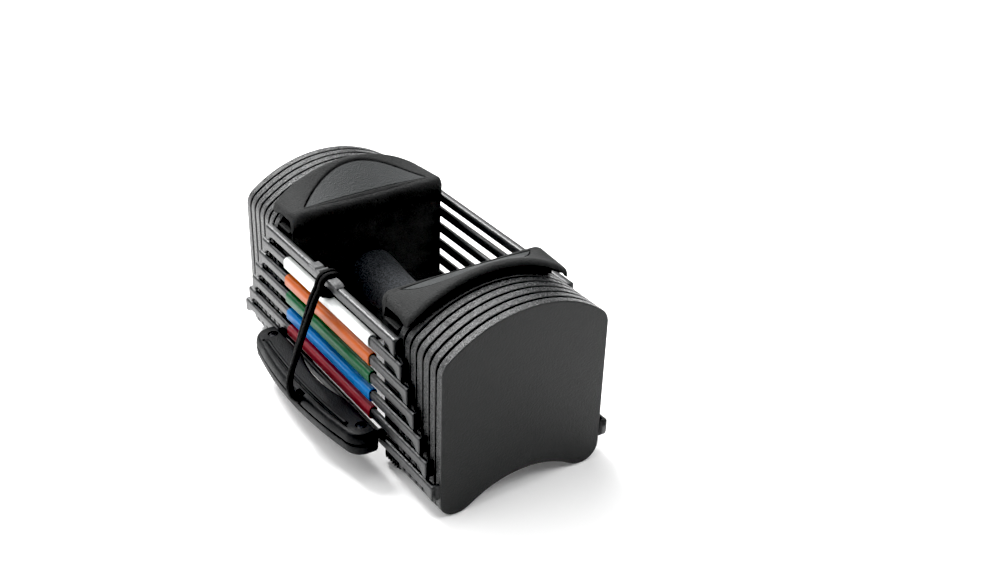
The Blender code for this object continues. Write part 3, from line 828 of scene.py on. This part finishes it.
def make_pin_screws():
    """Domed screw heads with a cross cut into each."""
    head = [(0, -1.5), (2.6, -1.5), (3.1, -1.2), (3.1, -0.9), (2.4, -0.3), (0, -0.2)]
    for end, side in SIDES:
        mesh = turned(f"pin_screw_{end}_shape", head, (SCREW_X, side * SCREW_Y, PIN_TOP), "Z", 32)
        screw = show(f"pin_screw_{end}_head", mesh, BLACK_SCREW, "pin", [f"pin_screw_{end}"])
        slots = []
        for turn in (0.4, 0.4 + pi / 2):
            bar = prism("slot", rounded_box(-1.7, -0.35, 1.7, 0.35, 0.2, 2), -1.0, 1.0, "Z")
            cutter = tool(bar)
            cutter.location = (CORE_X + SCREW_X * MM, side * SCREW_Y * MM, PIN_TOP * MM)
            cutter.rotation_euler.z = turn
            slots.append(cutter)
        carve(screw, *slots)


# Tether


def strand_point(x, z, way):
    """One strand's middle: the two lie side by side on the rail and one behind the other lower down."""
    share = min(1.0, max(0.0, (93 - z) / (93 - 42)))
    apart = Vector((0, 1, 0)).lerp(Vector((0.55, 0.72, -0.39)), share).normalized() * 2.05 * way
    middle_y = CORD_SHIFT - 8.8 * min(1.0, (93 - z) / (93 - 33.4))
    return (x + apart.x, middle_y + apart.y, z + apart.z)


def cord_route():
    """From the pin up over the top rail, round a bight under it, back over it beside itself and down."""
    over = [
        (-70.0, 2.05, 99.8), (-68.4, 2.05, 104.4), (-66.1, 2.05, 107.2), (-62.6, 2.1, 107.8),
        (-58.9, 2.3, 107.2), (-57.2, 2.7, 104.4), (-57.1, 3.2, 99.6), (-58.3, 3.6, 96.5),
        (-61.2, 3.9, 95.3), (-65.4, 3.4, 95.2), (-67.8, 1.8, 95.2), (-68.4, 0.0, 95.2),
    ]  # fmt: skip
    strand = [
        (-95.1, 33.4), (-96.5, 39.0), (-95.5, 46.3), (-92.2, 54), (-87.9, 63.5),
        (-83.3, 73.5), (-78.6, 83), (-73.9, 92.6),
    ]  # fmt: skip
    back = [(x, -y, z) for x, y, z in reversed(over[:-1])]
    points = [(-88.9, -8.2, 29.6), (-92.3, -8.3, 30.3)]
    points += [strand_point(x, z, 1) for x, z in strand]
    points += [(x, y + CORD_SHIFT, z) for x, y, z in over + back]
    points += [strand_point(x, z, -1) for x, z in reversed(strand)]
    points += [(-92.3, -11.9, 30.3), (-88.9, -12.3, 29.6)]
    return smooth(points, 2.0)


def make_cord():
    """The elastic cord, swept along its route from the pin, over the top rail and back down."""
    route = cord_route()
    mesh = swept("cord", route, arc((0, 0), CORD_R, 0, 360, 16)[:-1])
    mesh.materials.append(CORD)
    cord = in_scene("tether_cord_braided", mesh)
    cord.location.x = CORE_X
    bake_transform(cord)
    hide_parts("tether_cord")


def make_lugs():
    """The ramp and the hook on the top left rail, either side of the cord."""
    ramp = [(0, 0.25), (0, 1.3), (0.8, 2.0), (6.5, 1.9), (9.0, 1.5), (11.5, 0.25)]
    hook = [
        (0, 0.25), (0, 2.6), (0.8, 3.5), (2.4, 3.5), (3.2, 2.8), (4.0, 1.3),
        (6.0, 1.2), (7.0, 2.4), (14, 2.2), (15.5, 1.2), (15.5, 0.25),
    ]  # fmt: skip
    inner, outer = RAIL_OUT - 5.6, RAIL_OUT + 1.0
    for end, start, way, shape in (("near", -5.6, -1, ramp), ("far", 3.5, 1, hook)):
        outline = [(start + way * y, RAIL_TOP + z) for y, z in shape]
        mesh = prism(f"tether_lug_{end}_shape", outline, -outer, -inner, "X")
        lug = show(f"tether_lug_{end}_painted", mesh, RAIL, "weight_1", [f"tether_lug_{end}"])
        soften(lug, 0.4, 3, 25)


# Studio, in metres

STUDIO_AIM, STUDIO_AWAY = (CORE_X, 0, 0.06), 1.8
FLOOR_HALF, FLOOR_DROP = 6.0, 0.0002
WORLD_LIGHT, BLACK_LEVEL, WHITE_LEVEL = 0.03, 0.015, 0.88

# The camera's yaw, pitch and roll in degrees, and its sensor's width and focal length in millimetres
CAMERA_PLACE = (CORE_X - 0.3767, -0.6257, 0.5027)
CAMERA_TURNS = (35.42, 29.80, 2.21)
CAMERA_LENS = (36, 46.4)

# Each soft box's name, direction round from +X and height above the floor in degrees, size and power
STUDIO = (
    ("back_left", 97, 53, 0.8, 54.0),
    ("left", 167, 52, 1.4, 19.0),
    ("overhead", 90, 86, 1.0, 8.0),
    ("front_right", -50, 50, 0.9, 8.5),
    ("front", -66, 55, 0.9, 5.0),
    ("back", 62, 40, 0.9, 7.0),
)


def soft_box(name, turn, height, size, power):
    """A square light aimed at the dumbbell from a direction and height in degrees."""
    light = bpy.data.lights.new(name, "AREA")
    light.shape = "RECTANGLE"
    light.size = light.size_y = size
    light.energy = power
    obj = in_scene(name, light)
    a, e = radians(turn), radians(height)
    aim = Vector(STUDIO_AIM)
    place = Vector((cos(e) * cos(a), cos(e) * sin(a), sin(e))) * STUDIO_AWAY + aim
    obj.location = place
    obj.rotation_euler = (aim - place).to_track_quat("-Z", "Y").to_euler()


def make_floor():
    """A plain pale floor, just under the feet."""
    mesh = bpy.data.meshes.new("floor")
    corners = [(x * FLOOR_HALF, y * FLOOR_HALF, 0) for x, y in ((-1, -1), (1, -1), (1, 1), (-1, 1))]
    mesh.from_pydata(corners, [], [(0, 1, 2, 3)])
    floor = in_scene("floor", mesh)
    floor.location.z = -FLOOR_DROP
    n = Nodes("floor_white")
    n.set(Base_Color=(0.93, 0.93, 0.93, 1), Roughness=0.65, Specular_IOR_Level=0.25)
    n.set(Emission_Color=(1, 1, 1, 1), Emission_Strength=0.1)
    mesh.materials.append(n.material)


def make_studio():
    """Six soft boxes, a dim world and the picture's contrast."""
    world = bpy.data.worlds.new("studio")
    world.use_nodes = True
    background = world.node_tree.nodes["Background"]
    background.inputs["Color"].default_value = (1, 1, 1, 1)
    background.inputs["Strength"].default_value = WORLD_LIGHT
    scene = bpy.context.scene
    scene.world = world
    scene.view_settings.view_transform = "Standard"
    scene.view_settings.use_curve_mapping = True
    contrast = scene.view_settings.curve_mapping
    contrast.black_level = (BLACK_LEVEL,) * 3
    contrast.white_level = (WHITE_LEVEL,) * 3
    contrast.update()
    for box in STUDIO:
        soft_box(*box)


def make_camera():
    """The camera, turned right from +Y, down and a little about its own axis."""
    yaw, pitch, roll = (radians(turn) for turn in CAMERA_TURNS)
    ahead = Vector((cos(pitch) * sin(yaw), cos(pitch) * cos(yaw), -sin(pitch)))
    across = Vector((cos(yaw), -sin(yaw), 0))
    above = across.cross(ahead)
    right = across * cos(roll) + above * sin(roll)
    up = above * cos(roll) - across * sin(roll)
    camera = in_scene("camera", bpy.data.cameras.new("camera"))
    camera.data.sensor_width, camera.data.lens = CAMERA_LENS
    turn = Matrix((right, up, -ahead)).transposed().to_4x4()
    camera.matrix_world = Matrix.Translation(CAMERA_PLACE) @ turn
    bpy.context.scene.camera = camera


def dress_cad_nodes():
    """Materials for the CAD pieces that show as they are."""
    for name in ("handle_tube", "handle_bolt_near", "handle_bolt_far", "pin_fork"):
        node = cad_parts[name]
        node.data.materials.clear()
        node.data.materials.append(BLACK_SCREW if name == "pin_fork" else STEEL)


make_camera()
make_cord()
make_lugs()
make_plates()
make_rails()
make_bands()
make_caps()
make_housings()
make_handle()
make_pin_shells()
make_pin_screws()
dress_cad_nodes()
make_floor()
make_studio()
bpy.context.view_layer.update()
